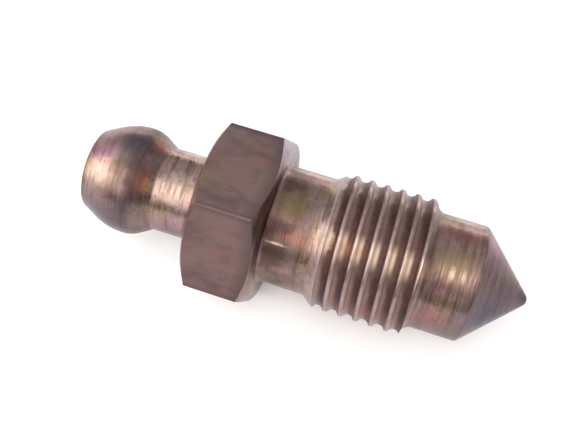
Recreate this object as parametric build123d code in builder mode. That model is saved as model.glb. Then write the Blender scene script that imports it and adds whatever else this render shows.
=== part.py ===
from build123d import *
import math
import os

# Bleeder screw of a hydraulic brake cylinder, turned in one piece from hexagon steel bar.
# Millimetres. The axis is X: the hose nipple points to -X and the sealing cone to +X.
# The origin is on the axis, in the hexagon's thread-side face. Two flats face straight up and down.

# Hexagon for a 7/16 inch spanner
across_flats = 11.11
hexagon_length = 4.76
hexagon_face_diameter = 10.8
hexagon_chamfer_angle = 30

# Hose nipple: a cone and a long round rise from its end to the widest ring, a short round falls to the neck
neck_diameter = 5.88
nipple_diameter = 7.6
nipple_length = 8.34
nipple_nose_length = 3.0
nose_round_radius = 4.2
nose_cone_angle = 27
back_round_radius = 2.2
back_cone_angle = 31
nipple_end_radius = 0.2
neck_root_radius = 0.25

# Plain shank between the hexagon and the thread
shank_diameter = 8.15
shank_length = 3.25
shank_root_radius = 0.25

# Thread 3/8-24 UNF, held as a plain cylinder over its crests between its start chamfer and its run-out
thread_diameter = 9.41
thread_start_angle = 45
thread_length = 6.25
thread_runout_radius = 0.7

# Unthreaded pilot and the cone that seals on the port's seat
pilot_diameter = 7.92
pilot_length = 3.61
seat_cone_angle = 90
seat_edge_radius = 0.3
tip_radius = 0.55

# Fluid passage: a blind bore from the nipple's end, met by one cross port in the pilot
bore_diameter = 3.2
bore_mouth_chamfer = 0.3
drill_point_angle = 118
port_diameter = 2.0
port_setback = 1.6

# How far a cutting shape reaches past the surface that it cuts
cutter_overrun = 0.5

# Stations along the axis
hexagon_start = -hexagon_length
hexagon_middle = -hexagon_length / 2
nipple_end = hexagon_start - nipple_length
nipple_ring = nipple_end + nipple_nose_length
thread_rise = (thread_diameter - shank_diameter) / 2 / math.tan(math.radians(thread_start_angle))
thread_start = shank_length + thread_rise
thread_end = thread_start + thread_length
cone_base = thread_end + pilot_length
port_station = cone_base - port_setback
bore_end = port_station + port_diameter / 2

# Radii
corner_radius = across_flats / 2 / math.cos(math.pi / 6)
face_radius = hexagon_face_diameter / 2
neck_radius = neck_diameter / 2
ring_radius = nipple_diameter / 2
shank_radius = shank_diameter / 2
thread_radius = thread_diameter / 2
pilot_radius = pilot_diameter / 2
bore_radius = bore_diameter / 2

# Sealing cone and the centre of the ball that rounds its tip
half_cone = seat_cone_angle / 2
cone_apex = cone_base + pilot_radius / math.tan(math.radians(half_cone))
tip_centre = cone_apex - tip_radius / math.sin(math.radians(half_cone))


def on_tip(angle):
    """Point of the tip's round, at an angle in degrees from the axis."""
    turn = math.radians(angle)
    return (tip_centre + tip_radius * math.cos(turn), tip_radius * math.sin(turn))


with BuildPart() as bleeder_screw:
    # Hexagon bar
    with BuildSketch(Plane.YZ.offset(hexagon_start)):
        RegularPolygon(across_flats / 2, 6, major_radius=False)
    extrude(amount=hexagon_length)

    # Chamfer turned on both ends of the hexagon, which leaves a flat ring inside it
    cutter_radius = corner_radius + cutter_overrun
    chamfer_run = (cutter_radius - face_radius) * math.tan(math.radians(hexagon_chamfer_angle))
    with BuildSketch(Plane.XY):
        with BuildLine():
            left_cone = Line((hexagon_start, face_radius), (hexagon_start + chamfer_run, cutter_radius))
            right_cone = Line((-chamfer_run, cutter_radius), (0, face_radius))
            Line(left_cone @ 1, right_cone @ 0)
            Polyline(right_cone @ 1, (0, 0), (hexagon_start, 0), left_cone @ 0)
        make_face()
    revolve(axis=Axis.X, mode=Mode.INTERSECT)

    # Hose nipple and neck
    with BuildSketch(Plane.XY) as nipple_section:
        with BuildLine():
            nose_round = JernArc((nipple_ring, ring_radius), (-1, 0), nose_round_radius, nose_cone_angle)
            nose_fall = ((nose_round @ 1).X - nipple_end) * math.tan(math.radians(nose_cone_angle))
            nose_end = (nipple_end, (nose_round @ 1).Y - nose_fall)
            back_round = JernArc((nipple_ring, ring_radius), (1, 0), back_round_radius, -back_cone_angle)
            back_run = ((back_round @ 1).Y - neck_radius) / math.tan(math.radians(back_cone_angle))
            neck_end = ((back_round @ 1).X + back_run, neck_radius)
            Polyline(nose_round @ 1, nose_end, (nipple_end, 0), (hexagon_middle, 0))
            Polyline((hexagon_middle, 0), (hexagon_middle, neck_radius), neck_end, back_round @ 1)
        make_face()
        corners = nipple_section.vertices()
        fillet(corners.sort_by_distance(nose_end)[0], nipple_end_radius)
        corners = nipple_section.vertices()
        fillet(corners.sort_by_distance(neck_end)[0], neck_root_radius)
    revolve(axis=Axis.X)

    # Shank, thread blank, pilot and sealing cone with its small round tip
    cone_end = 90 - half_cone
    with BuildSketch(Plane.XY) as thread_section:
        with BuildLine():
            Polyline(
                on_tip(0),
                (hexagon_middle, 0),
                (hexagon_middle, shank_radius),
                (shank_length, shank_radius),
                (thread_start, thread_radius),
                (thread_end, thread_radius),
                (thread_end, pilot_radius),
                (cone_base, pilot_radius),
                on_tip(cone_end),
            )
            ThreePointArc(on_tip(cone_end), on_tip(cone_end / 2), on_tip(0))
        make_face()
        corners = thread_section.vertices()
        fillet(corners.sort_by_distance((thread_end, pilot_radius))[0], thread_runout_radius)
        corners = thread_section.vertices()
        fillet(corners.sort_by_distance((cone_base, pilot_radius))[0], seat_edge_radius)
    revolve(axis=Axis.X)

    # Roots where the neck and the shank meet the hexagon
    rings = bleeder_screw.edges().filter_by(GeomType.CIRCLE)
    fillet(rings.sort_by_distance((hexagon_start, neck_radius, 0))[0], neck_root_radius)
    rings = bleeder_screw.edges().filter_by(GeomType.CIRCLE)
    fillet(rings.sort_by_distance((0, shank_radius, 0))[0], shank_root_radius)

    # Blind bore with the point that a drill leaves
    drill_point = bore_radius / math.tan(math.radians(drill_point_angle / 2))
    with BuildSketch(Plane.XY):
        with BuildLine():
            Polyline(
                (nipple_end, 0),
                (nipple_end, bore_radius + bore_mouth_chamfer),
                (nipple_end + bore_mouth_chamfer, bore_radius),
                (bore_end, bore_radius),
                (bore_end + drill_point, 0),
                close=True,
            )
        make_face()
    revolve(axis=Axis.X, mode=Mode.SUBTRACT)

    # Cross port through one wall of the pilot
    with BuildSketch(Plane(origin=(port_station, 0, 0), x_dir=(1, 0, 0), z_dir=(0, 1, 0))):
        Circle(port_diameter / 2)
    extrude(amount=pilot_radius + cutter_overrun, mode=Mode.SUBTRACT)

bleeder_screw.part.label = "bleeder_screw"

os.makedirs("parts", exist_ok=True)
export_step(bleeder_screw.part, "parts/bleeder_screw.step")
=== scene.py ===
import math

import bmesh
import bpy
from bpy.props import FloatProperty, FloatVectorProperty, IntProperty, PointerProperty
from bpy.types import Operator, Panel, PropertyGroup
from mathutils import Matrix, Vector


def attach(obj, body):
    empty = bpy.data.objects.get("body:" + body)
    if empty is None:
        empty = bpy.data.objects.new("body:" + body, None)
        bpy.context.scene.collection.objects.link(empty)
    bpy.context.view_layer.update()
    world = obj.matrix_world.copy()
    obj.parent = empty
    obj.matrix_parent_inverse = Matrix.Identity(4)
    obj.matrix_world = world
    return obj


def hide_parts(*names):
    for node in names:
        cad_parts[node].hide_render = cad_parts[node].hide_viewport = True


bl_info = {
    "name": "Bleeder screw",
    "version": (1, 0, 0),
    "blender": (4, 5, 0),
    "location": "3D View > Sidebar > Bleeder screw",
    "description": "Models a brake bleeder screw with its thread, gives it its finish and lights it",
    "category": "Add Mesh",
}

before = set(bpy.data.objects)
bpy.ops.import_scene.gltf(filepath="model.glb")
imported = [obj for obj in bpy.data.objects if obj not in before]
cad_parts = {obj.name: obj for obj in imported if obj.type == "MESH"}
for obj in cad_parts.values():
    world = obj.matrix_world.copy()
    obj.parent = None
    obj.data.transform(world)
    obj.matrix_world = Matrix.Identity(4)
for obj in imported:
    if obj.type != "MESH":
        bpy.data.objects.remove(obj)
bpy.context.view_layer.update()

MM = 0.001

# A face or edge is found this near to the place that it is looked for at
NEAR = 0.01 * MM
# Points nearer to each other than this are one
MERGE = 0.0005 * MM
# A cutting shape reaches this far past the surface that it cuts
OVERRUN = 0.5 * MM
# Edges that turn by more than this stay sharp
SHARP = math.radians(32)


# Properties

def linear(hex_colour):
    """An sRGB hex colour as linear red, green and blue."""
    parts = [int(hex_colour[i:i + 2], 16) / 255 for i in (1, 3, 5)]
    return [p / 12.92 if p <= 0.04045 else ((p + 0.055) / 1.055) ** 2.4 for p in parts]


def length(name, millimetres, description):
    """A property that holds a length, given in millimetres and kept in metres."""
    return FloatProperty(name=name, description=description, default=millimetres * MM,
                         min=0, precision=5, unit="LENGTH")


def angle(name, degrees, description):
    """A property that holds an angle, given in degrees and kept in radians."""
    return FloatProperty(name=name, description=description, default=math.radians(degrees),
                         subtype="ANGLE", unit="ROTATION")


def colour(name, hex_colour, description):
    """A property that holds a colour, given as sRGB hex."""
    return FloatVectorProperty(name=name, description=description, default=linear(hex_colour),
                               size=3, min=0, max=1, subtype="COLOR")


class ScrewSizes(PropertyGroup):
    """Sizes of the screw: those of the solid model, and those of the thread cut into it."""

    across_flats: length("Across flats", 11.11, "Width of the hexagon between two flats")
    hexagon_length: length("Hexagon length", 4.76, "Length of the hexagon along the axis")
    hexagon_face_diameter: length("Hexagon face", 10.8, "Flat ring that the chamfer leaves on its ends")
    hexagon_chamfer_angle: angle("Hexagon chamfer", 30, "Slope of the chamfer turned on its ends")
    bar_corner_radius: length("Bar corner", 0.12, "Small round that drawing leaves on the bar's corners")

    neck_diameter: length("Neck", 5.88, "Plain neck between nipple and hexagon")
    nipple_diameter: length("Nipple", 7.6, "Widest ring of the nipple, which grips the hose")
    nipple_length: length("Nipple length", 8.34, "Nipple and neck together")
    nipple_nose_length: length("Nose length", 3.0, "From the nipple's end to its widest ring")
    nose_round_radius: length("Nose round", 4.2, "Round between the nose's cone and the widest ring")
    nose_cone_angle: angle("Nose cone", 27, "Slope of the nose against the axis")
    back_round_radius: length("Back round", 2.2, "Round between the widest ring and the back cone")
    back_cone_angle: angle("Back cone", 31, "Slope of the back cone against the axis")
    nipple_end_radius: length("Nipple end", 0.2, "Round on the edge of the nipple's end")
    root_radius: length("Roots", 0.25, "Round in the corners of the neck and beside the hexagon")

    shank_diameter: length("Shank", 8.15, "Plain shank between hexagon and thread")
    shank_length: length("Shank length", 3.25, "From the hexagon to the thread's start chamfer")
    thread_diameter: length("Thread", 9.41, "Diameter over the crests")
    thread_root_diameter: length("Thread root", 8.84, "Diameter at the bottom of the grooves")
    crest_width: length("Crest width", 0.26, "Width of a crest between its flanks, before it is rounded")
    crest_radius: length("Crest round", 0.15, "Round between crest and flanks")
    thread_flank_angle: angle("Thread flank", 30, "Slope of a flank against the screw's cross section")
    thread_start_angle: angle("Thread start", 36, "Slope of the chamfer at the thread's start")
    thread_start_radius: length("Thread start round", 0.35, "Round at both ends of the start chamfer")
    thread_end: length("Thread end", 10.13, "From the hexagon to the end of the last crest")
    thread_runout_radius: length("Run-out", 0.7, "Round from the last crest down to the pilot")
    thread_pitch: length("Pitch", 1.0583, "Distance between crests: 24 threads to the inch")
    thread_groove_at: length("Groove above", 4.176, "Where the first groove crosses the screw's top")

    pilot_diameter: length("Pilot", 7.92, "Unthreaded part between thread and cone")
    pilot_length: length("Pilot length", 3.61, "From the last crest to the cone")
    seat_edge_radius: length("Seat edge", 0.3, "Round between pilot and cone")
    seat_cone_angle: angle("Seat cone", 90, "Full angle of the sealing cone")
    tip_radius: length("Tip", 0.55, "Round on the tip of the cone")

    bore_diameter: length("Bore", 3.2, "Blind bore from the nipple's end")
    bore_mouth_chamfer: length("Bore mouth", 0.3, "Chamfer at the mouth of the bore")
    drill_point_angle: angle("Drill point", 118, "Full angle of the bore's end")
    port_diameter: length("Cross port", 2.0, "Hole through one wall of the pilot into the bore")
    port_setback: length("Port setback", 1.6, "From the cross port's middle to the cone")

    around: IntProperty(name="Around", description="Faces around the axis", default=192, min=48, max=360)


class ScrewFinish(PropertyGroup):
    """Colours of the screw's finish."""

    bar_brown: colour("Bar", "#7A6564", "Drawn flats under dull plating")
    bar_green: colour("Bar, greenish", "#746959", "Parts of the flats where the plating looks greenish")
    bar_red: colour("Bar, reddish", "#80605F", "Parts of the flats where the plating looks reddish")
    # Also painted shade on the bar's corners, which dims their highlight
    bar_shade: colour("Bar shade", "#5C4D50", "Darker streaks along the flats")
    turned_mauve: colour("Turned, mauve", "#9A8580", "Turned surfaces where the plating is pale brown")
    turned_gold: colour("Turned, gold", "#96806A", "Turned surfaces where the plating is golden")
    turned_pink: colour("Turned, pink", "#AE8496", "Turned surfaces where the plating is pink")
    cone_grey: colour("Cone", "#786668", "Duller mauve grey of the sealing cone")
    # Partly wear, partly a painted reflection of the light on the crests and the start chamfer
    crest_pale: colour("Crests", "#A89492", "Rubbed crests of the thread")
    # Painted highlights and glints, and painted reflections of the bright floor along top edges
    painted_highlight: colour("Cream", "#D2BEAC", "Bright places where the plating is rubbed thin")
    # Painted light on the flanks that face the cone, paler and less metal than the rest
    flank_painted_light: colour("Flanks", "#8E7A74", "Thinner film on the flanks that face the cone")
    groove_brown: colour("Grooves", "#705851", "Film in the thread's grooves")
    # Painted shade against the thread's flanks that face the hexagon; on the shank, dark patches that are
    # partly dirt and partly a painted dark reflection
    dark_dirt_and_painted_shade: colour("Grooves, dark", "#423030", "Dirt against the flanks that face the hexagon")
    groove_red: colour("Grooves, red", "#6E4440", "Reddish patches in the grooves")
    stain_brown: colour("Film", "#574440", "Dark brown film")
    stain_olive: colour("Olive stain", "#7C6C50", "Patches of olive passivation")
    stain_red: colour("Red stain", "#8A5854", "Patches of reddish passivation")
    stain_orange: colour("Orange stain", "#96603E", "Patches of orange passivation")
    # Painted reflection of the pale floor on the hexagon's chamfer
    chamfer_painted_reflection: colour("Lilac stain", "#B0A4B6", "Pale lilac passivation on the hexagon's chamfer")
    # Also laid over the lower sides of the nose, neck, pilot and cone, which it makes darker and bluer
    stain_slate: colour("Slate stain", "#544F5C", "Patches of dull blue-grey passivation")


class StageLook(PropertyGroup):
    """Floor, light and camera."""

    floor_colour: colour("Floor", "#EAEDF2", "Plain pale floor")
    floor_radius: length("Floor radius", 1200, "From the screw to the floor's rim")
    floor_rim: length("Floor rim", 60, "Height of the wall at the floor's rim, which hides the horizon")
    floor_glow: FloatProperty(name="Floor white", default=0.22, min=0, max=1,
                              description="What the eye sees added to the lit floor, 1 is white")
    camera_distance: length("Camera distance", 54.334, "From the camera to the screw's axis")
    camera_along: length("Camera along", 7.502, "Place of the camera along the axis")
    camera_height: angle("Camera height", 62.777, "Height above the level, seen along the axis")
    camera_roll: angle("Camera roll", 4.135, "Turn of the picture")
    camera_aim: FloatVectorProperty(name="Camera aim", description="Point that the camera looks at",
                                    default=[part * MM for part in (0.760, 0.617, 0.318)],
                                    size=3, precision=5, subtype="TRANSLATION", unit="LENGTH")
    lens: FloatProperty(name="Lens", description="Focal length on a 36 mm sensor", default=49.95,
                        min=10, max=300, unit="CAMERA")


# Modelling helpers

def start_piece(name):
    """Names the primitive that was just added and gives its mesh the place that the object had."""
    piece = bpy.context.object
    piece.name = piece.data.name = name
    bpy.ops.object.transform_apply(location=True, rotation=True, scale=True)
    return piece


def only(piece):
    """Makes one piece the only selected and the active one."""
    bpy.ops.object.select_all(action="DESELECT")
    piece.select_set(True)
    bpy.context.view_layer.objects.active = piece


def pick(kind, test):
    """In edit mode, selects only the faces or edges that pass the test."""
    bpy.ops.mesh.select_mode(type=kind)
    bpy.ops.mesh.select_all(action="DESELECT")
    mesh = bpy.context.object.data
    shape = bmesh.from_edit_mesh(mesh)
    found = [item for item in (shape.faces if kind == "FACE" else shape.edges) if test(item)]
    if not found:
        raise RuntimeError(f"nothing was found to select on {bpy.context.object.name}")
    for item in found:
        item.select_set(True)
    shape.select_flush_mode()
    bmesh.update_edit_mesh(mesh)


def close_holes():
    """In edit mode, fills every open ring of edges."""
    bpy.ops.mesh.select_mode(type="EDGE")
    bpy.ops.mesh.select_all(action="DESELECT")
    bpy.ops.mesh.select_non_manifold()
    bpy.ops.mesh.fill_holes(sides=0)


def extrude_to(stations, from_x, from_radius):
    """Extrudes the selected ring or end face along the axis, one station after another."""
    for x, radius in stations:
        bpy.ops.mesh.extrude_region_move(TRANSFORM_OT_translate={"value": (x - from_x, 0, 0)})
        scale = radius / from_radius
        bpy.ops.transform.resize(value=(1, scale, scale), center_override=(x, 0, 0))
        from_x, from_radius = x, radius


def turned(name, stations, around):
    """A closed tool of round section, extruded from a circle through the stations."""
    bpy.ops.object.select_all(action="DESELECT")
    first_x, first_radius = stations[0]
    bpy.ops.mesh.primitive_circle_add(vertices=around, radius=first_radius, fill_type="NGON",
                                      location=(first_x, 0, 0), rotation=(0, math.pi / 2, 0))
    tool = start_piece(name)
    bpy.ops.object.mode_set(mode="EDIT")
    bpy.ops.mesh.select_all(action="SELECT")
    extrude_to(stations[1:], first_x, first_radius)
    bpy.ops.mesh.select_all(action="SELECT")
    bpy.ops.mesh.normals_make_consistent(inside=False)
    bpy.ops.object.mode_set(mode="OBJECT")
    return tool


def arc(centre_x, centre_radius, radius, start, end, steps):
    """Points of an arc in the screw's section, between two angles in degrees, without the first."""
    points = []
    for i in range(1, steps + 1):
        turn = math.radians(start + (end - start) * i / steps)
        points.append((centre_x + radius * math.cos(turn), centre_radius + radius * math.sin(turn)))
    return points


def combine(piece, tool, operation):
    """Cuts the piece with a tool, or keeps what both share, and removes the tool."""
    only(piece)
    cut = piece.modifiers.new("Cut", "BOOLEAN")
    cut.operation = operation
    cut.solver = "EXACT"
    cut.object = tool
    bpy.ops.object.modifier_apply(modifier=cut.name)
    bpy.data.objects.remove(tool)


# The screw

def hexagon(sizes):
    """Piece of hexagon bar with a chamfer turned on both ends."""
    corner = sizes.across_flats / 2 / math.cos(math.pi / 6)
    bar = sizes.hexagon_length
    bpy.ops.object.select_all(action="DESELECT")
    bpy.ops.mesh.primitive_cylinder_add(vertices=6, radius=corner, depth=bar, end_fill_type="NGON",
                                        location=(-bar / 2, 0, 0), rotation=(0, math.pi / 2, 0))
    screw = start_piece("screw")
    bpy.ops.object.mode_set(mode="EDIT")
    pick("EDGE", lambda e: abs(e.verts[0].co.x - e.verts[1].co.x) > bar / 2)
    bpy.ops.mesh.bevel(offset=sizes.bar_corner_radius, segments=4, affect="EDGES")
    bpy.ops.object.mode_set(mode="OBJECT")

    face = sizes.hexagon_face_diameter / 2
    slope = math.tan(sizes.hexagon_chamfer_angle)
    reach = corner + OVERRUN
    # The cones start outside the bar's ends
    past = 0.3 * MM
    run = (reach - face) * slope
    cones = turned("cones", [(-bar - past, face - past / slope), (-bar + run, reach),
                             (-run, reach), (past, face - past / slope)], sizes.around)
    combine(screw, cones, "INTERSECT")
    return screw


def nipple_stations(sizes):
    """Section from the hexagon along the neck and over the nipple to its end."""
    root = sizes.root_radius
    neck = sizes.neck_diameter / 2
    wide = sizes.nipple_diameter / 2
    start = -sizes.hexagon_length
    end = start - sizes.nipple_length
    ring = end + sizes.nipple_nose_length
    back, nose = sizes.back_round_radius, sizes.nose_round_radius
    back_angle, nose_angle = sizes.back_cone_angle, sizes.nose_cone_angle

    points = [(start, neck + root)]
    points += arc(start - root, neck + root, root, 0, -90, 5)
    # Back cone from the neck up to the back round, with a root round where it leaves the neck
    back_x = ring + back * math.sin(back_angle)
    back_r = wide - back + back * math.cos(back_angle)
    corner_x = back_x + (back_r - neck) / math.tan(back_angle)
    tangent = root * math.tan(back_angle / 2)
    degrees = math.degrees(back_angle)
    points.append((corner_x + tangent, neck))
    points += arc(corner_x + tangent, neck + root, root, -90, -90 - degrees, 4)
    points.append((back_x, back_r))
    points += arc(ring, wide - back, back, 90 - degrees, 90, 10)
    # Nose round and cone, and the round at the nipple's end
    degrees = math.degrees(nose_angle)
    points += arc(ring, wide - nose, nose, 90, 90 + degrees, 12)
    nose_x, nose_r = points[-1]
    end_r = nose_r - (nose_x - end) * math.tan(nose_angle)
    small = sizes.nipple_end_radius
    reach = small * math.tan((math.pi / 2 - nose_angle) / 2)
    centre_r = end_r - reach
    points.append((end + small - small * math.sin(nose_angle), centre_r + small * math.cos(nose_angle)))
    points += arc(end + small, centre_r, small, 90 + degrees, 180, 6)
    return points


def shank_stations(sizes):
    """Section from the hexagon over shank, thread blank and pilot to the tip of the cone."""
    root = sizes.root_radius
    shank = sizes.shank_diameter / 2
    crest = sizes.thread_diameter / 2
    pilot = sizes.pilot_diameter / 2
    runout = sizes.thread_runout_radius
    edge = sizes.seat_edge_radius
    tip = sizes.tip_radius
    half = sizes.seat_cone_angle / 2
    end = sizes.thread_end
    cone = end + sizes.pilot_length
    tip_centre = cone + pilot / math.tan(half) - tip / math.sin(half)

    points = [(0, shank + root)]
    points += arc(root, shank + root, root, 180, 270, 5)
    # The start chamfer, with a round at its foot and at the first crest
    slope = sizes.thread_start_angle
    degrees = math.degrees(slope)
    small = sizes.thread_start_radius
    foot_x = sizes.shank_length - small * math.tan(slope / 2)
    top_x = sizes.shank_length + (crest - shank) / math.tan(slope) + small * math.tan(slope / 2)
    points.append((foot_x, shank))
    points += arc(foot_x, shank + small, small, -90, degrees - 90, 5)
    points.append((top_x - small * math.sin(slope), crest - small + small * math.cos(slope)))
    points += arc(top_x, crest - small, small, 90 + degrees, 90, 5)
    points += [(end, crest), (end, pilot + runout)]
    points += arc(end + runout, pilot + runout, runout, 180, 270, 8)
    tangent = edge * math.tan(half / 2)
    points.append((cone - tangent, pilot))
    points += arc(cone - tangent, pilot - edge, edge, 90, 90 - math.degrees(half), 5)
    top = 90 - math.degrees(half)
    points.append((tip_centre + tip * math.cos(math.radians(top)), tip * math.sin(math.radians(top))))
    points += arc(tip_centre, 0, tip, top, 5, 6)
    # A tiny last ring, which is merged to a point once it is made
    points.append((tip_centre + tip, 0.01 * MM))
    return points


def thread_cutter(sizes):
    """The groove's section, swept along the right-hand helix."""
    crest = sizes.thread_diameter / 2
    root = sizes.thread_root_diameter / 2
    pitch = sizes.thread_pitch
    flank = math.tan(sizes.thread_flank_angle)
    # Half widths of the groove: at its root, and over the round of the crests
    brink = (pitch - sizes.crest_width) / 2
    half_root = brink - (crest - root) * flank
    round_x = brink + sizes.crest_radius * flank
    levels = []
    for degrees in (60, 40, 20):
        turn = math.radians(degrees)
        levels.append((round_x - sizes.crest_radius * math.sin(turn),
                       crest - sizes.crest_radius * (1 - math.cos(turn))))
    # It goes on at the last slope to a little above the crests
    wide, top = levels[-1]
    over = crest + 0.012 * MM
    levels.append((wide + (over - top) / math.tan(turn), over))

    start = sizes.thread_groove_at - pitch
    half, top = levels[0]
    bpy.ops.object.select_all(action="DESELECT")
    bpy.ops.mesh.primitive_plane_add(size=1, location=(start, 0, (top + root) / 2),
                                     rotation=(math.pi / 2, 0, 0))
    bpy.ops.transform.resize(value=(2 * half_root, 1, top - root))
    groove = start_piece("groove")
    bpy.ops.object.mode_set(mode="EDIT")
    pick("EDGE", lambda e: all(v.co.z > top - NEAR for v in e.verts))
    bpy.ops.transform.resize(value=(half / half_root, 1, 1), center_override=(start, 0, top))
    pick("EDGE", lambda e: all(v.co.z < (top + root) / 2 for v in e.verts))
    bpy.ops.mesh.bevel(offset=0.8 * half_root, segments=5, affect="VERTICES")
    pick("EDGE", lambda e: all(v.co.z > top - NEAR for v in e.verts))
    for wider, level in levels[1:]:
        bpy.ops.mesh.extrude_region_move(TRANSFORM_OT_translate={"value": (0, 0, level - top)})
        bpy.ops.transform.resize(value=(wider / half, 1, 1), center_override=(start, 0, level))
        half, top = wider, level
    bpy.ops.mesh.select_all(action="SELECT")
    bpy.ops.mesh.dissolve_faces()
    bpy.ops.mesh.delete(type="ONLY_FACE")
    bpy.ops.object.mode_set(mode="OBJECT")

    # The sweep starts one turn before the first groove and ends past the last crest
    turns = 7.5
    sweep = groove.modifiers.new("Helix", "SCREW")
    sweep.axis = "X"
    sweep.angle = math.tau * turns
    sweep.screw_offset = pitch * turns
    sweep.steps = sweep.render_steps = int(sizes.around * turns)
    sweep.use_merge_vertices = False
    bpy.ops.object.modifier_apply(modifier=sweep.name)
    bpy.ops.object.mode_set(mode="EDIT")
    close_holes()
    bpy.ops.mesh.select_all(action="SELECT")
    bpy.ops.mesh.normals_make_consistent(inside=False)
    bpy.ops.object.mode_set(mode="OBJECT")
    return groove


def passage(screw, sizes):
    """Blind bore from the nipple's end and the cross port that meets it."""
    bore = sizes.bore_diameter / 2
    mouth = sizes.bore_mouth_chamfer
    end = -sizes.hexagon_length - sizes.nipple_length
    port_x = sizes.thread_end + sizes.pilot_length - sizes.port_setback
    bore_end = port_x + sizes.port_diameter / 2
    point = bore / math.tan(sizes.drill_point_angle / 2)
    # The drill's point ends in a ring too small to see
    drill = turned("drill", [(end - mouth, bore + 2 * mouth), (end + mouth, bore), (bore_end, bore),
                             (bore_end + point, 0.005 * MM)], sizes.around // 2)
    combine(screw, drill, "DIFFERENCE")

    deep = sizes.pilot_diameter / 2 + OVERRUN
    bpy.ops.object.select_all(action="DESELECT")
    bpy.ops.mesh.primitive_cylinder_add(vertices=sizes.around // 3, radius=sizes.port_diameter / 2,
                                        depth=deep, end_fill_type="NGON", location=(port_x, deep / 2, 0),
                                        rotation=(math.pi / 2, 0, 0))
    port = start_piece("port")
    combine(screw, port, "DIFFERENCE")


# Materials

def node(tree, kind, inputs=None, out=0, **settings):
    """Adds a node and gives one of its outputs; an input is another node's output or a plain value."""
    made = tree.nodes.new("ShaderNode" + kind)
    for name, value in settings.items():
        setattr(made, name, value)
    for socket, value in (inputs or {}).items():
        if isinstance(value, bpy.types.NodeSocket):
            tree.links.new(value, made.inputs[socket])
        else:
            made.inputs[socket].default_value = value
    return made.outputs[out]


def new_material(name):
    """An empty material and its node tree."""
    material = bpy.data.materials.new(name)
    material.use_nodes = True
    material.node_tree.nodes.clear()
    return material, material.node_tree


def show(tree, shader):
    """Links a shader to the surface of its material or world."""
    kind = "World" if isinstance(tree.id_data, bpy.types.World) else "Material"
    tree.links.new(shader, tree.nodes.new("ShaderNodeOutput" + kind).inputs["Surface"])


def layered(tree, tone, layers):
    """Lays one colour over another, each with its share between 0 and 1."""
    for share, over in layers:
        tone = node(tree, "Mix", {0: share, 6: tone, 7: (*over, 1)}, out=2, data_type="RGBA")
    return tone


# Brown film along the screw: place in mm and share. The neck is the cleanest. At the nipple's end it
# darkens the rounded edge as a painted dark reflection
FILM_ALONG = (
    (-13.2, 0.9), (-12.95, 0.6), (-12.7, 0.12), (-11.0, 0.15), (-10.7, 0.4), (-9.95, 0.5), (-9.7, 0.95),
    (-8.5, 0.8), (-8.05, 0.6), (-7.9, 0.05), (-5.2, 0.08), (-4.6, 0.5), (-0.9, 0.2), (-0.1, 0.1),
    (0.2, 0.4), (0.5, 0.85), (1.8, 0.75), (2.8, 0.35), (3.3, 0.1), (10.2, 0.45), (10.9, 0.5), (11.5, 0.2),
    (13.4, 0.3), (15.0, 0.2), (17.6, 0.5),
)
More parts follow.
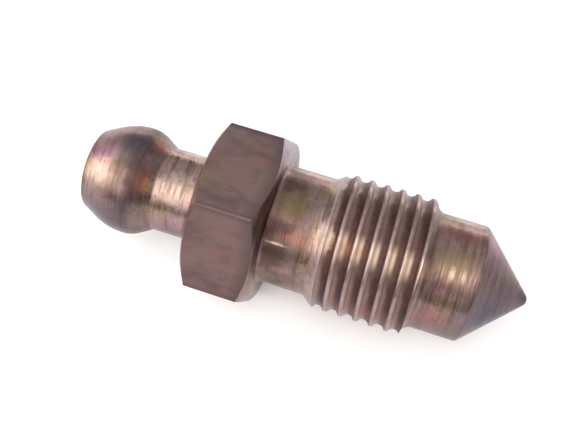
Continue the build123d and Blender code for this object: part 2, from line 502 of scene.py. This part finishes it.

# Single stains, some of them painted highlights, painted reflections and painted shade: colour, place along
# the axis in mm, height around it in degrees, radius there, reach along the axis and around it in mm, and
# share
STAINS = (
    # Painted highlight on the nose
    ("painted_highlight", -11.9, 62, 3.4, 1.5, 0.9, 0.15),
    ("stain_brown", -9.25, 62, 3.6, 0.75, 1.6, 0.8),
    ("stain_red", -8.8, 66, 3.3, 0.6, 1.6, 0.3),
    ("stain_orange", -8.6, 60, 3.2, 0.17, 0.8, 0.7),
    ("turned_pink", -12.0, 88, 3.4, 1.4, 1.1, 0.9),
    ("stain_slate", -10.0, 102, 3.8, 1.3, 2.0, 0.8),
    ("turned_mauve", -8.9, 12, 3.4, 0.8, 1.2, 0.5),
    ("stain_red", -8.6, 113, 3.2, 0.6, 0.9, 0.7),
    ("stain_slate", -10.9, 8, 3.7, 3.0, 2.6, 0.65),
    ("stain_slate", -6.4, -4, 2.94, 2.2, 1.2, 0.5),
    # Painted highlight that widens the nose's highlight below it
    ("turned_mauve", -12.0, 43, 3.4, 1.0, 1.1, 0.5),
    # Painted highlight on the neck
    ("painted_highlight", -6.6, 66, 2.94, 1.9, 1.2, 0.35),
    # Thin dark bars across the neck's highlight: painted shade that breaks the highlight into rings
    ("stain_brown", -7.6, 62, 2.94, 0.1, 0.7, 0.5),
    ("stain_brown", -7.0, 64, 2.94, 0.14, 0.8, 0.6),
    ("stain_brown", -6.55, 62, 2.94, 0.1, 0.7, 0.5),
    ("stain_brown", -6.1, 62, 2.94, 0.12, 0.8, 0.6),
    # Painted reflection of the bright floor along the neck's top edge
    ("painted_highlight", -6.4, 133, 2.94, 1.4, 0.5, 0.6),
    # Dark patches on the shank where its highlight would fall: partly dirt, partly a painted dark reflection
    ("dark_dirt_and_painted_shade", 0.9, 62, 4.07, 2.2, 1.4, 0.7),
    ("dark_dirt_and_painted_shade", 0.5, 56, 4.07, 1.3, 0.7, 0.7),
    ("stain_red", 2.0, 53, 4.07, 1.3, 0.35, 0.5),
    ("stain_brown", 0.8, 36, 4.07, 1.5, 0.9, 0.7),
    ("stain_olive", 1.2, 84, 4.07, 1.3, 1.3, 0.7),
    ("stain_orange", 2.3, 56, 4.07, 0.7, 0.6, 0.22),
    # A thin rub mark on the shank, painted bright as a glint
    ("painted_highlight", 0.95, 45, 4.07, 0.8, 0.12, 1.0),
    # Painted reflection of the bright floor along the shank's top edge
    ("painted_highlight", 1.9, 133, 4.07, 2.0, 0.55, 0.8),
    # Painted highlight on the thread's start chamfer
    ("painted_highlight", 3.8, 63, 4.4, 0.7, 1.0, 1.0),
    ("stain_orange", 5.4, 60, 4.5, 1.4, 0.6, 0.4),
    ("stain_red", 7.4, 4, 4.5, 2.6, 1.2, 0.5),
    # Painted reflection on the top of the hexagon's chamfer
    ("chamfer_painted_reflection", -0.45, 126, 5.5, 0.7, 2.4, 0.9),
    ("stain_slate", -0.3, 52, 5.7, 0.5, 4.0, 0.5),
    # Painted reflection on the lower side of the hexagon's chamfer
    ("chamfer_painted_reflection", -0.45, -16, 5.5, 0.6, 1.6, 0.85),
    ("stain_brown", 10.8, 70, 3.96, 0.6, 1.3, 0.6),
    ("turned_gold", 12.3, 72, 3.96, 1.7, 1.5, 0.75),
    ("stain_olive", 11.4, 80, 3.96, 0.9, 1.0, 0.7),
    ("stain_brown", 12.0, 53, 3.96, 2.0, 0.5, 0.5),
    # Painted glints on the pilot
    ("painted_highlight", 12.05, 66, 3.96, 0.2, 0.55, 1.0),
    ("painted_highlight", 12.8, 67, 3.96, 0.16, 0.5, 0.85),
    # Painted reflection of the bright floor along the pilot's top edge
    ("painted_highlight", 12.2, 133, 3.96, 1.5, 0.5, 0.55),
    ("stain_red", 12.2, 106, 3.96, 1.8, 0.7, 0.6),
    ("stain_brown", 12.0, 42, 3.96, 2.2, 0.7, 0.15),
    ("stain_red", 11.8, 18, 3.96, 1.4, 1.1, 0.5),
    ("stain_slate", 12.4, -10, 3.96, 2.2, 1.6, 0.6),
    ("turned_pink", 14.2, 118, 3.4, 0.7, 1.0, 0.7),
    ("stain_slate", 15.0, 18, 2.6, 2.6, 2.8, 1.0),
    ("stain_red", 14.9, 56, 2.8, 2.4, 0.4, 0.3),
    ("stain_slate", 17.2, 62, 0.4, 1.2, 1.0, 0.8),
)


def film_mask(tree, x, patch):
    """Share of the brown film along the screw, uneven where a patchy pattern says so."""
    first, last = FILM_ALONG[0][0], FILM_ALONG[-1][0]
    film = node(tree, "ValToRGB", {0: node(tree, "MapRange", {0: x, 1: first * MM, 2: last * MM})})
    stops = film.node.color_ramp.elements
    stops[1].position = 1
    for at, share in FILM_ALONG[1:-1]:
        stops.new((at - first) / (last - first))
    for stop, (at, share) in zip(stops, FILM_ALONG):
        stop.color = (share, share, share, 1)
    uneven = node(tree, "MapRange", {0: patch, 1: 0.35, 2: 0.65, 3: 0.4, 4: 1.4})
    return node(tree, "Math", {0: film, 1: uneven}, operation="MULTIPLY", use_clamp=True)


def thread_masks(tree, x, y, z, sizes):
    """Masks from 0 to 1: the whole thread, the grime in its grooves, painted shade against the flanks that
    face the hexagon, painted light on the flanks behind the crests, and a painted highlight band along the
    thread."""
    # Turns of the helix from crest to crest: 0 and 1 on a crest, 0.5 in the middle of a groove
    front = node(tree, "Math", {0: y, 1: -1}, operation="MULTIPLY")
    turn = node(tree, "Math", {0: front, 1: z}, operation="ARCTAN2")
    turns = node(tree, "Math", {0: x, 1: 1 / sizes.thread_pitch,
                 2: 0.5 - sizes.thread_groove_at / sizes.thread_pitch}, operation="MULTIPLY_ADD")
    turns = node(tree, "Math", {0: turn, 1: -1 / math.tau, 2: turns}, operation="MULTIPLY_ADD")
    turns = node(tree, "Math", {0: turns}, operation="FRACT")
    # Angle in radians from the middle of the painted highlight band, which is half a radian down from the
    # top
    aside = node(tree, "Math", {0: turn, 1: 0.5}, operation="SUBTRACT")
    aside = node(tree, "Math", {0: aside}, operation="ABSOLUTE")

    # Each fades from 0 to 1 between two values. Grime starts softly behind each crest and ends sharply at
    # the next;
    # painted shade lies against the flanks that face the hexagon, painted light on the flanks behind the
    # crests, and the painted highlight band keeps off the shaded flanks
    masks = {}
    for name, follows, start, end in (
            ("from_chamfer", x, 3.3 * MM, 3.6 * MM),
            ("to_runout", x, 10.5 * MM, 10.2 * MM),
            ("from_groove", x, 4.0 * MM, 4.25 * MM),
            ("to_crest", turns, 0.95, 0.90),
            ("grime", turns, 0.08, 0.34),
            ("painted_groove_shade", turns, 0.42, 0.6),
            ("behind", turns, 0.05, 0.13),
            ("to_root", turns, 0.48, 0.28),
            ("highlight_band", aside, 0.24, 0.08),
            ("off_flank", turns, 0.52, 0.36)):
        masks[name] = node(tree, "MapRange", {0: follows, 1: start, 2: end})
    # A mask holds only where the others in its row do
    for name, *others in (
            ("from_chamfer", "to_runout"),
            ("from_groove", "from_chamfer", "to_crest"),
            ("grime", "from_groove"),
            ("painted_groove_shade", "from_groove"),
            ("behind", "to_root", "from_chamfer"),
            ("highlight_band", "off_flank", "from_chamfer")):
        for other in others:
            masks[name] = node(tree, "Math", {0: masks[name], 1: masks[other]}, operation="MULTIPLY")
    return [masks[name] for name in ("from_chamfer", "grime", "painted_groove_shade", "behind", "highlight_band")]


def stain_layers(tree, place, speck, finish):
    """One layer of colour for each single stain or painted mark, with ragged edges."""
    layers = []
    for name, along, height, out_to, reach_x, reach, share in STAINS:
        turn = math.radians(height)
        scale = Vector((1 / reach_x, 1 / reach, 1 / reach)) / MM
        middle = Vector((along, -out_to * math.cos(turn), out_to * math.sin(turn))) * MM
        away = node(tree, "VectorMath", {0: place, 1: scale, 2: -middle * scale},
                    operation="MULTIPLY_ADD")
        away = node(tree, "VectorMath", {0: away}, out="Value", operation="LENGTH")
        ragged = node(tree, "Math", {0: speck, 1: away}, operation="ADD")
        layers.append((node(tree, "MapRange", {0: ragged, 1: 1.6, 2: 0.7, 4: share}),
                       getattr(finish, name)))
    return layers


def turned_steel(sizes, finish):
    """Turned steel, zinc plated and passivated yellow-brown: satin metal with fine rings whose colour
    shifts between gold, mauve and pink, and a brown film where the bath dried slowly. Painted highlights,
    reflections and shade lie over it too."""
    material, tree = new_material("turned_passivated_zinc")
    place = node(tree, "TexCoord", out="Object")
    x, y, z = node(tree, "SeparateXYZ", {0: place}).node.outputs
    across = node(tree, "VectorMath", {0: place, 1: (0, 1, 1)}, operation="MULTIPLY")
    radius = node(tree, "VectorMath", {0: across}, out="Value", operation="LENGTH")
    outward = node(tree, "VectorMath", {0: across}, operation="NORMALIZE")

    # Noise in rings: their width, how much they change around the axis, and a seed. Real feed marks are
    # about 0.08 mm apart; these are 0.16 to 0.9 mm wide to show
    rings = []
    for width, change, seed in ((0.16 * MM, 0.4, 3), (0.5 * MM, 0.8, 11), (0.9 * MM, 1.8, 5)):
        around = node(tree, "VectorMath", {0: outward, 1: (0, change, change)}, operation="MULTIPLY")
        along = node(tree, "VectorMath", {0: place, 1: (1 / width, 0, 0), 2: around},
                     operation="MULTIPLY_ADD")
        inward = node(tree, "Math", {0: radius, 1: 1 / width, 2: seed}, operation="MULTIPLY_ADD")
        rings.append(node(tree, "TexNoise", {"Vector": along, "W": inward, "Scale": 1, "Detail": 2,
                          "Roughness": 0.6}, noise_dimensions="4D"))
    fine, broad, ring_tone = rings
    feed = node(tree, "TexWave", {"Vector": place, "Scale": math.tau / 20 / (0.24 * MM), "Distortion": 9,
                "Detail": 2, "Detail Scale": 0.5}, out="Fac", bands_direction="X")
    marks = node(tree, "Math", {0: feed, 1: 0.08}, operation="MULTIPLY")
    for ring, share in ((fine, 0.5), (broad, 0.42)):
        marks = node(tree, "Math", {0: ring, 1: share, 2: marks}, operation="MULTIPLY_ADD")

    # Patches of passivation colour, 2 mm across, and specks of 0.4 mm
    patch = node(tree, "TexNoise", {"Vector": place, "Scale": 1 / (1.8 * MM), "Detail": 3,
                 "Roughness": 0.6}, out="Color")
    gold, pink, brown = node(tree, "SeparateColor", {0: patch}).node.outputs
    speck = node(tree, "TexNoise", {"Vector": place, "Scale": 1 / (0.4 * MM), "Detail": 3,
                 "Roughness": 0.65})
    film = film_mask(tree, x, brown)
    thread, grime, painted_groove_shade, behind, highlight_band = thread_masks(tree, x, y, z, sizes)

    # Layers of colour from the bottom up: the pattern that each follows, where it starts and is full, its
    # greatest share, and its colour
    layers = []
    for pattern, start, full, share, tint in (
            (gold, 0.48, 0.6, 0.85, finish.turned_gold),
            (ring_tone, 0.52, 0.66, 0.5, finish.turned_gold),
            (pink, 0.54, 0.66, 0.65, finish.turned_pink),
            (marks, 0.56, 0.4, 0.35, finish.stain_brown),
            (broad, 0.47, 0.36, 0.5, finish.stain_brown),
            (speck, 0.52, 0.7, 0.55, finish.stain_brown),
            (film, 0, 1, 0.8, finish.stain_brown),
            (x, 13.5 * MM, 14.1 * MM, 0.75, finish.cone_grey),
            (grime, 0, 1, 0.75, finish.groove_brown)):
        layers.append((node(tree, "MapRange", {0: pattern, 1: start, 2: full, 4: share}), tint))
    reddish = node(tree, "MapRange", {0: gold, 1: 0.56, 2: 0.46, 4: 0.6})
    lumpy = node(tree, "MapRange", {0: speck, 1: 0.35, 2: 0.65, 3: 1, 4: 0.7})
    # Reddish grime, painted light behind the crests, a painted highlight band and painted shade in the
    # grooves
    for mask, share, tint in (
            (grime, reddish, finish.groove_red),
            (behind, 0.6, finish.flank_painted_light),
            (highlight_band, 1, finish.painted_highlight),
            (painted_groove_shade, lumpy, finish.dark_dirt_and_painted_shade)):
        layers.append((node(tree, "Math", {0: mask, 1: share}, operation="MULTIPLY"), tint))
    layers += stain_layers(tree, place, speck, finish)

    # The crests and the start chamfer are pale: partly rubbed, partly a painted reflection of the light
    soiled = node(tree, "Math", {0: grime, 1: painted_groove_shade}, operation="MAXIMUM")
    clean = node(tree, "MapRange", {0: soiled, 1: 0.7, 2: 0})
    rubbed = node(tree, "Math", {0: clean, 1: thread}, operation="MULTIPLY")
    worn = node(tree, "MapRange", {0: speck, 1: 0.4, 2: 0.6, 3: 0.75, 4: 0.4})
    layers.append((node(tree, "Math", {0: rubbed, 1: worn}, operation="MULTIPLY"), finish.crest_pale))
    tone = layered(tree, (*finish.turned_mauve, 1), layers)

    # The painted light on the flanks behind the crests, most in the painted highlight band, and the painted
    # shade against the other flanks hide the metal; film and that painted shade make it duller
    bare = node(tree, "MapRange", {0: painted_groove_shade, 3: 1, 4: 0.8})
    hidden = node(tree, "MapRange", {0: highlight_band, 3: -0.55, 4: -0.9})
    metal = node(tree, "Math", {0: behind, 1: hidden, 2: bare}, operation="MULTIPLY_ADD")
    dull = node(tree, "Math", {0: painted_groove_shade, 1: film}, operation="MAXIMUM")
    rough = node(tree, "MapRange", {0: marks, 1: 0.4, 2: 0.6, 3: 0.26, 4: 0.38})
    rough = node(tree, "Math", {0: dull, 1: 0.16, 2: rough}, operation="MULTIPLY_ADD")

    # Film fills the marks. A form tool cut the thread's flanks, so they have no broad marks and lower ones
    filled = node(tree, "MapRange", {0: film, 3: 1, 4: 0.4})
    height = node(tree, "Math", {0: marks, 1: filled}, operation="MULTIPLY")
    off_thread = node(tree, "MapRange", {0: thread, 3: 1.1, 4: 0})
    height = node(tree, "Math", {0: broad, 1: off_thread, 2: height}, operation="MULTIPLY_ADD")
    lower = node(tree, "MapRange", {0: thread, 3: 1, 4: 0.6})
    height = node(tree, "Math", {0: height, 1: lower}, operation="MULTIPLY")
    bump = node(tree, "Bump", {"Height": height, "Strength": 1, "Distance": 0.03 * MM})

    # The marks run around the axis, so highlights spread along it
    normal = node(tree, "NewGeometry", out="Normal")
    about = node(tree, "VectorMath", {0: (1, 0, 0), 1: outward}, operation="CROSS_PRODUCT")
    spread = node(tree, "VectorMath", {0: normal, 1: about}, operation="CROSS_PRODUCT")
    show(tree, node(tree, "BsdfPrincipled", {"Base Color": tone, "Metallic": metal, "Roughness": rough,
                    "Specular Tint": (0.97, 0.95, 0.95, 1), "Anisotropic": 0.5, "Tangent": spread,
                    "Normal": bump}))
    return material


def drawn_steel(sizes, finish):
    """Drawn hexagon bar under the same plating: duller than the turned parts, brown with faint green and
    red patches and fine lines along the bar."""
    material, tree = new_material("drawn_passivated_zinc")
    place = node(tree, "TexCoord", out="Object")
    x = node(tree, "SeparateXYZ", {0: place}, out="X")
    across = node(tree, "VectorMath", {0: place, 1: (0, 1, 1)}, operation="MULTIPLY")
    out_to = node(tree, "VectorMath", {0: across}, out="Value", operation="LENGTH")
    # Distance along the axis from the thread-side chamfer, less than 0
    slope = math.tan(sizes.hexagon_chamfer_angle)
    brink = node(tree, "Math", {0: out_to, 1: slope, 2: -slope * sizes.hexagon_face_diameter / 2},
                 operation="MULTIPLY_ADD")
    brink = node(tree, "Math", {0: x, 1: brink}, operation="ADD")
    # Drawing lines are about 0.1 mm wide and run along the whole bar; these are 0.2 mm wide to show
    along = node(tree, "VectorMath", {0: place, 1: (1 / (6 * MM), 1 / (0.2 * MM), 1 / (0.2 * MM))},
                 operation="MULTIPLY")
    lines = node(tree, "TexNoise", {"Vector": along, "Scale": 1, "Detail": 2, "Roughness": 0.5})
    # Soft patches, 2.6 mm long and 1.5 mm wide
    wide = node(tree, "VectorMath", {0: place, 1: (1 / (2.6 * MM), 1 / (1.5 * MM), 1 / (1.5 * MM))},
                operation="MULTIPLY")
    patch = node(tree, "TexNoise", {"Vector": wide, "Scale": 1, "Detail": 3, "Roughness": 0.6},
                 out="Color")
    green, red, dark = node(tree, "SeparateColor", {0: patch}).node.outputs
    # Layers of colour as on the turned steel. The bar is darker towards its chamfer, and painted shade
    # dims the highlight on its corners
    layers = []
    for pattern, start, full, share, tint in (
            (green, 0.48, 0.64, 0.8, finish.bar_green),
            (red, 0.52, 0.66, 0.7, finish.bar_red),
            (dark, 0.46, 0.68, 0.75, finish.bar_shade),
            (lines, 0.6, 0.4, 0.14, finish.bar_shade),
            (brink, -0.9 * MM, -0.05 * MM, 0.85, finish.bar_shade),
            (out_to, 6.2 * MM, 6.36 * MM, 0.7, finish.bar_shade)):
        layers.append((node(tree, "MapRange", {0: pattern, 1: start, 2: full, 4: share}), tint))
    tone = layered(tree, (*finish.bar_brown, 1), layers)
    rough = node(tree, "MapRange", {0: lines, 1: 0.3, 2: 0.7, 3: 0.46, 4: 0.54})
    bump = node(tree, "Bump", {"Height": lines, "Strength": 0.3, "Distance": 0.01 * MM})
    normal = node(tree, "NewGeometry", out="Normal")
    spread = node(tree, "VectorMath", {0: normal, 1: (1, 0, 0)}, operation="CROSS_PRODUCT")
    show(tree, node(tree, "BsdfPrincipled", {"Base Color": tone, "Metallic": 1, "Roughness": rough,
                    "Specular Tint": (0.7, 0.67, 0.69, 1), "Anisotropic": 0.4, "Tangent": spread,
                    "Normal": bump}))
    return material


# The stage

# Soft lamps: name, height above the level on the camera's side, turn towards the nipple, both in degrees,
# distance and size in metres, brightness against white, and colour
LAMPS = (
    ("key", 56, 10, 0.30, (0.09, 0.26), 5.2, "#FFF7EE"),
    ("left", 57, 63, 0.30, (0.22, 0.20), 4.6, "#FFF6EC"),
    ("over", 104, 42, 0.32, (0.16, 0.14), 1.0, "#FFFAFA"),
    ("top", 86, 2, 0.36, (0.26, 0.24), 0.6, "#FFFAF6"),
    ("front", 26, 12, 0.30, (0.26, 0.10), 1.2, "#FFF4EC"),
    ("right", 60, -48, 0.30, (0.18, 0.12), 2.4, "#FFE6C8"),
    ("rim", 177.3, 0, 0.40, (0.50, 0.03), 6.0, "#FFF8EE"),
)


def add_floor(look, sizes):
    """A wide floor with a low wall at its rim, which hides the horizon in low views."""
    # It lies a hair below the flat that the screw rests on, so that the two don't share a plane
    bottom = -sizes.across_flats / 2 - 0.002 * MM
    rim = look.floor_rim
    bpy.ops.object.select_all(action="DESELECT")
    bpy.ops.mesh.primitive_cylinder_add(vertices=96, radius=look.floor_radius, depth=rim,
                                        end_fill_type="NGON", location=(0, 0, bottom + rim / 2))
    floor = start_piece("floor")
    bpy.ops.object.mode_set(mode="EDIT")
    pick("FACE", lambda f: f.normal.z > 0.9)
    bpy.ops.mesh.delete(type="ONLY_FACE")
    bpy.ops.mesh.select_all(action="SELECT")
    bpy.ops.mesh.flip_normals()
    bpy.ops.object.mode_set(mode="OBJECT")

    material, tree = new_material("pale_floor")
    shade = node(tree, "BsdfDiffuse", {"Color": (*look.floor_colour, 1)})
    # Camera and reflections see the floor as white paper, also where it runs out of the lamps' light from
    # 60 to 500 mm away; its shadow stays
    ray = node(tree, "LightPath").node.outputs
    seen = ray["Is Camera Ray"]
    for other in ("Is Glossy Ray", "Is Transmission Ray"):
        seen = node(tree, "Math", {0: seen, 1: ray[other]}, operation="MAXIMUM")
    place = node(tree, "TexCoord", out="Object")
    away = node(tree, "VectorMath", {0: place}, out="Value", operation="LENGTH")
    far = node(tree, "MapRange", {0: away, 1: 60 * MM, 2: 500 * MM, 3: look.floor_glow, 4: 1})
    glow = node(tree, "Math", {0: seen, 1: far}, operation="MULTIPLY")
    white = node(tree, "Emission", {"Color": (1, 1, 1, 1), "Strength": glow})
    show(tree, node(tree, "AddShader", {0: shade, 1: white}))
    floor.data.materials.append(material)


def add_sky(scene):
    """Soft light from all around, darker at the horizon, brighter behind the screw and beside its nipple."""
    world = bpy.data.worlds.new("studio")
    scene.world = world
    world.use_nodes = True
    tree = world.node_tree
    tree.nodes.clear()
    side, back, up = node(tree, "SeparateXYZ", {0: node(tree, "TexCoord")}).node.outputs
    level = node(tree, "MapRange", {0: up, 1: 0.1, 2: 0.9, 3: 0.22, 4: 0.7},
                 interpolation_type="SMOOTHSTEP")
    # Strength at the near and far end of each direction
    for direction, near_end, far_end in ((side, 1.25, 0.75), (back, 0.7, 1.5)):
        factor = node(tree, "MapRange", {0: direction, 1: -1, 2: 1, 3: near_end, 4: far_end})
        level = node(tree, "Math", {0: level, 1: factor}, operation="MULTIPLY")
    show(tree, node(tree, "Background", {"Color": (1, 0.98, 0.97, 1), "Strength": level}))


def add_lamps():
    """The soft lamps around the screw, each turned towards it."""
    for name, height, turn, distance, size, brightness, tint in LAMPS:
        height, turn = math.radians(height), math.radians(turn)
        at = Vector((-math.sin(turn), -math.cos(height) * math.cos(turn),
                     math.sin(height) * math.cos(turn))) * distance
        bpy.ops.object.light_add(type="AREA", location=at)
        lamp = bpy.context.object
        lamp.name = name
        lamp.rotation_euler = at.to_track_quat("Z", "Y").to_euler()
        lamp.data.shape = "RECTANGLE"
        lamp.data.size, lamp.data.size_y = size
        lamp.data.energy = brightness * math.pi * size[0] * size[1]
        lamp.data.color = linear(tint)
        lamp.visible_camera = False


def add_camera(scene, look):
    """The camera, as it stood when the photograph was taken."""
    at = Vector((look.camera_along, -look.camera_distance * math.cos(look.camera_height),
                 look.camera_distance * math.sin(look.camera_height)))
    level = (at - Vector(look.camera_aim)).to_track_quat("Z", "Y").to_matrix()
    turn = level @ Matrix.Rotation(look.camera_roll, 3, "Z")
    bpy.ops.object.camera_add(location=at, rotation=turn.to_euler())
    camera = bpy.context.object
    camera.data.lens = look.lens
    camera.data.sensor_width = 36
    camera.data.clip_start = 1 * MM
    scene.camera = camera


# Operators

class SCREW_OT_model(Operator):
    """Models the bleeder screw in one piece and gives it its finish"""

    bl_idname = "mesh.bleeder_screw_add"
    bl_label = "Bleeder screw"

    def execute(self, context):
        sizes = context.scene.screw_sizes
        finish = context.scene.screw_finish
        screw = hexagon(sizes)
        face = sizes.hexagon_face_diameter / 2
        end = -sizes.hexagon_length
        for x, stations in ((end, nipple_stations(sizes)), (0, shank_stations(sizes))):
            bpy.ops.object.mode_set(mode="EDIT")
            pick("FACE", lambda f: abs(f.normal.x) > 0.99 and abs(f.calc_center_median().x - x) < NEAR)
            extrude_to(stations, x, face)
            if x == 0:
                bpy.ops.mesh.merge(type="CENTER")
            bpy.ops.object.mode_set(mode="OBJECT")
        combine(screw, thread_cutter(sizes), "DIFFERENCE")
        passage(screw, sizes)

        only(screw)
        bpy.ops.object.mode_set(mode="EDIT")
        bpy.ops.mesh.select_all(action="SELECT")
        bpy.ops.mesh.remove_doubles(threshold=MERGE)
        close_holes()
        bpy.ops.mesh.select_all(action="SELECT")
        bpy.ops.mesh.normals_make_consistent(inside=False)
        bpy.ops.object.mode_set(mode="OBJECT")
        bpy.ops.object.shade_smooth_by_angle(angle=SHARP)
        even = screw.modifiers.new("Even shading", "WEIGHTED_NORMAL")
        even.keep_sharp = True
        bpy.ops.object.modifier_apply(modifier=even.name)

        screw.data.materials.append(turned_steel(sizes, finish))
        screw.data.materials.append(drawn_steel(sizes, finish))
        # The flats and the bar's rounded corners are drawn, all else is turned
        inside = sizes.across_flats / 2 - NEAR
        bpy.ops.object.mode_set(mode="EDIT")
        pick("FACE", lambda f: abs(f.normal.x) < 0.05 and f.calc_center_median().yz.length > inside)
        screw.active_material_index = 1
        bpy.ops.object.material_slot_assign()
        bpy.ops.object.mode_set(mode="OBJECT")

        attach(screw, "root")
        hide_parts("bleeder_screw")
        return {"FINISHED"}


class SCREW_OT_stage(Operator):
    """Adds the floor, the lights and the camera"""

    bl_idname = "scene.bleeder_screw_stage_add"
    bl_label = "Stage"

    def execute(self, context):
        scene = context.scene
        add_floor(scene.stage_look, scene.screw_sizes)
        add_sky(scene)
        add_lamps()
        add_camera(scene, scene.stage_look)
        scene.view_settings.view_transform = "Standard"
        return {"FINISHED"}


class SCREW_PT_panel(Panel):
    """Sidebar panel that lists the steps"""

    bl_idname = "SCREW_PT_panel"
    bl_label = "Bleeder screw"
    bl_space_type = "VIEW_3D"
    bl_region_type = "UI"
    bl_category = "Bleeder screw"

    def draw(self, context):
        layout = self.layout
        for step in STEPS:
            layout.operator(step.bl_idname)
        for group in (context.scene.screw_sizes, context.scene.screw_finish, context.scene.stage_look):
            box = layout.box()
            for name in group.__annotations__:
                box.prop(group, name)


STEPS = (SCREW_OT_model, SCREW_OT_stage)
CLASSES = (ScrewSizes, ScrewFinish, StageLook, *STEPS, SCREW_PT_panel)


def register():
    for each in CLASSES:
        bpy.utils.register_class(each)
    bpy.types.Scene.screw_sizes = PointerProperty(type=ScrewSizes)
    bpy.types.Scene.screw_finish = PointerProperty(type=ScrewFinish)
    bpy.types.Scene.stage_look = PointerProperty(type=StageLook)


def unregister():
    del bpy.types.Scene.stage_look
    del bpy.types.Scene.screw_finish
    del bpy.types.Scene.screw_sizes
    for each in reversed(CLASSES):
        bpy.utils.unregister_class(each)


def main():
    register()
    bpy.ops.mesh.bleeder_screw_add()
    bpy.ops.scene.bleeder_screw_stage_add()


if __name__ == "__main__":
    main()
